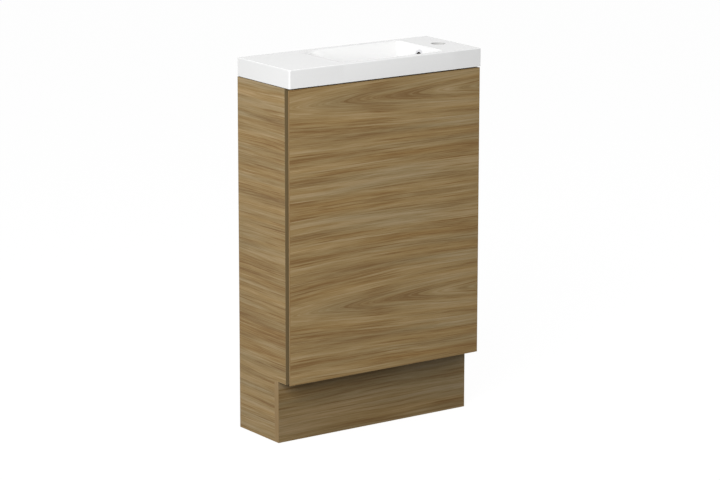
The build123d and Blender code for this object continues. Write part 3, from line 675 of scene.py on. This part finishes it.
class VANITY_OT_fittings(bpy.types.Operator):
    """Give the metal, plastic and rubber fittings their finishes"""

    bl_idname = "vanity.fittings"
    bl_label = "Fittings"

    def execute(self, context):
        chrome = plain_finish("chrome", (0.78, 0.78, 0.80), 0.09, 1.0, 0.01, 500.0, 0.002)
        steel = plain_finish("zinc_plate", (0.62, 0.62, 0.63), 0.32, 1.0, 0.05)
        nickel = plain_finish("nickel_plate", (0.60, 0.57, 0.52), 0.28, 1.0, 0.04)
        zinc = plain_finish("cast_zinc", (0.48, 0.48, 0.49), 0.5, 1.0, 0.10, 700.0, 0.04)
        beech = plain_finish("beech", (0.56, 0.35, 0.16), 0.6, 0.0, 0.15, 600.0, 0.05)
        grey = plain_finish("block_plastic", (0.60, 0.57, 0.52), 0.5, 0.0, 0.03, 1500.0, 0.03)
        white = plain_finish("white_plastic", (0.82, 0.82, 0.81), 0.42, 0.0, 0.02)
        rubber = plain_finish("black_rubber", (0.022, 0.022, 0.022), 0.7, 0.0, 0.1)
        clear = plain_finish("buffer", (0.62, 0.62, 0.60), 0.3, 0.0, 0.03)
        # The sealant bead under the basin is real, but its near-black colour is painted shade, for
        # the shadow in the gap between the basin and the cabinet
        bead_painted_shade = plain_finish("sealant", (0.045, 0.036, 0.022), 0.7, 0.0, 0.08, 300.0, 0.1)
        finishes = {
            "chrome_trim": chrome, "bright_steel": steel, "hinge_steel": nickel,
            "cast_zinc": zinc, "beech_dowel": beech, "block_plastic": grey,
            "white_plastic": white, "black_rubber": rubber, "clear_bumper": clear,
            "sealant": bead_painted_shade,
        }
        for part in frame["record"]["subparts"]:
            if part["material_slot"] in finishes:
                paint([part["node"]], finishes[part["material_slot"]].material)
        return {"FINISHED"}


# Half the floor's width, how bright the floor looks to the camera, and the lamps
FLOOR_REACH, FLOOR_BRIGHTNESS = 12.0, 0.93
LAMP_SIZE, LAMP_AIM = 2.2, (0, 0, 0.5)
LEFT_LAMP_PLACE, RIGHT_LAMP_PLACE = (-2.62, -2.0, 2.0), (2.9, -0.35, 2.65)


class VANITY_OT_stage(bpy.types.Operator):
    """Set up the floor, the lamps and the camera"""

    bl_idname = "vanity.stage"
    bl_label = "Studio"

    def execute(self, context):
        studio = context.scene.vanity_studio
        self.make_floor(studio)
        self.make_world(context, studio)
        self.make_lamp("left_lamp", LEFT_LAMP_PLACE, studio.left)
        self.make_lamp("right_lamp", RIGHT_LAMP_PLACE, studio.right)
        self.make_camera(context, studio)
        context.scene.view_settings.view_transform = "Standard"
        return {"FINISHED"}

    def make_floor(self, studio):
        corners = [(x * FLOOR_REACH, y * FLOOR_REACH, 0)
                   for x, y in ((-1, -1), (1, -1), (1, 1), (-1, 1))]
        mesh = bpy.data.meshes.new("studio_floor")
        mesh.from_pydata(corners, [], [(0, 1, 2, 3)])
        tree = Tree("studio_floor")
        paths = tree.node("ShaderNodeLightPath")
        seen = tree.math("MAXIMUM", paths.outputs["Is Camera Ray"], paths.outputs["Is Glossy Ray"])
        seen = tree.math("MAXIMUM", seen, paths.outputs["Is Transmission Ray"])
        fine = tree.noise(tree.object_point(), (40, 40, 40), 2)
        tree.set(Base_Color=tree.mix(tree.math("MULTIPLY", fine, 0.02), studio.floor_colour,
                                     (0.7, 0.7, 0.7)),
                 Roughness=0.9)
        tree.shader.inputs["Specular IOR Level"].default_value = 0.0
        tree.shader.inputs["Emission Color"].default_value = (1, 1, 1, 1)
        tree.feed(tree.shader.inputs["Emission Strength"],
                  tree.math("MULTIPLY", seen, FLOOR_BRIGHTNESS))
        mesh.materials.append(tree.material)
        floor = bpy.data.objects.new("studio_floor", mesh)
        bpy.context.scene.collection.objects.link(floor)

    def make_world(self, context, studio):
        world = bpy.data.worlds.new("studio")
        world.use_nodes = True
        tree = world.node_tree
        paths = tree.nodes.new("ShaderNodeLightPath")
        seen = paths.outputs["Is Camera Ray"]
        for ray in ("Is Transmission Ray", "Is Glossy Ray"):
            either = tree.nodes.new("ShaderNodeMath")
            either.operation = "MAXIMUM"
            tree.links.new(seen, either.inputs[0])
            tree.links.new(paths.outputs[ray], either.inputs[1])
            seen = either.outputs[0]
        strength = tree.nodes.new("ShaderNodeMapRange")
        strength.inputs["To Min"].default_value = studio.sky
        strength.inputs["To Max"].default_value = 1.0
        tree.links.new(seen, strength.inputs["Value"])
        background = tree.nodes["Background"]
        background.inputs["Color"].default_value = (1, 1, 1, 1)
        tree.links.new(strength.outputs["Result"], background.inputs["Strength"])
        context.scene.world = world

    def make_lamp(self, name, place, power):
        data = bpy.data.lights.new(name, "AREA")
        data.shape = "DISK"
        data.size = LAMP_SIZE
        data.energy = power
        lamp = bpy.data.objects.new(name, data)
        lamp.location = place
        towards = Vector(LAMP_AIM) - Vector(place)
        lamp.rotation_euler = towards.to_track_quat("-Z", "Y").to_euler()
        bpy.context.scene.collection.objects.link(lamp)

    def make_camera(self, context, studio):
        """The camera's axes are turned by yaw about the upright, then pitch, then roll."""
        yaw, pitch, roll = studio.camera_yaw, studio.camera_pitch, studio.camera_roll
        ahead = Vector((math.sin(yaw) * math.cos(pitch), math.cos(yaw) * math.cos(pitch),
                        -math.sin(pitch)))
        right = Vector((math.cos(yaw), -math.sin(yaw), 0))
        up = right.cross(ahead)
        leant_right = right * math.cos(roll) + up * math.sin(roll)
        leant_up = up * math.cos(roll) - right * math.sin(roll)
        turn = Matrix((leant_right, leant_up, -ahead)).transposed().to_4x4()
        data = bpy.data.cameras.new("camera")
        data.lens = studio.lens
        data.sensor_width = 36.0
        data.clip_end = 100.0
        camera = bpy.data.objects.new("camera", data)
        camera.matrix_world = Matrix.Translation(Vector(studio.camera_place)) @ turn
        bpy.context.scene.collection.objects.link(camera)
        context.scene.camera = camera


class VANITY_PT_panel(bpy.types.Panel):
    """Sizes, colours and steps of the vanity unit"""

    bl_label = "Slim vanity unit"
    bl_idname = "VANITY_PT_panel"
    bl_space_type = "VIEW_3D"
    bl_region_type = "UI"
    bl_category = "Vanity"

    def draw(self, context):
        layout = self.layout
        for group in (context.scene.vanity_wood, context.scene.vanity_basin,
                      context.scene.vanity_studio):
            box = layout.box()
            for key in group.__annotations__:
                box.prop(group, key)
        for step in STEPS:
            layout.operator(step.bl_idname)


GROUPS = {
    "vanity_studio": VanityStudio,
    "vanity_wood": VanityWood,
    "vanity_basin": VanityBasin,
}
STEPS = (VANITY_OT_boards, VANITY_OT_basin, VANITY_OT_fittings, VANITY_OT_stage)


def register():
    for kind in (*GROUPS.values(), *STEPS, VANITY_PT_panel):
        bpy.utils.register_class(kind)
    for name, kind in GROUPS.items():
        setattr(bpy.types.Scene, name, PointerProperty(type=kind))


def unregister():
    for name in GROUPS:
        delattr(bpy.types.Scene, name)
    for kind in (VANITY_PT_panel, *reversed(STEPS), *GROUPS.values()):
        bpy.utils.unregister_class(kind)


def main():
    register()
    bpy.ops.vanity.boards()
    bpy.ops.vanity.basin()
    bpy.ops.vanity.fittings()
    bpy.ops.vanity.stage()


if __name__ == "__main__":
    main()
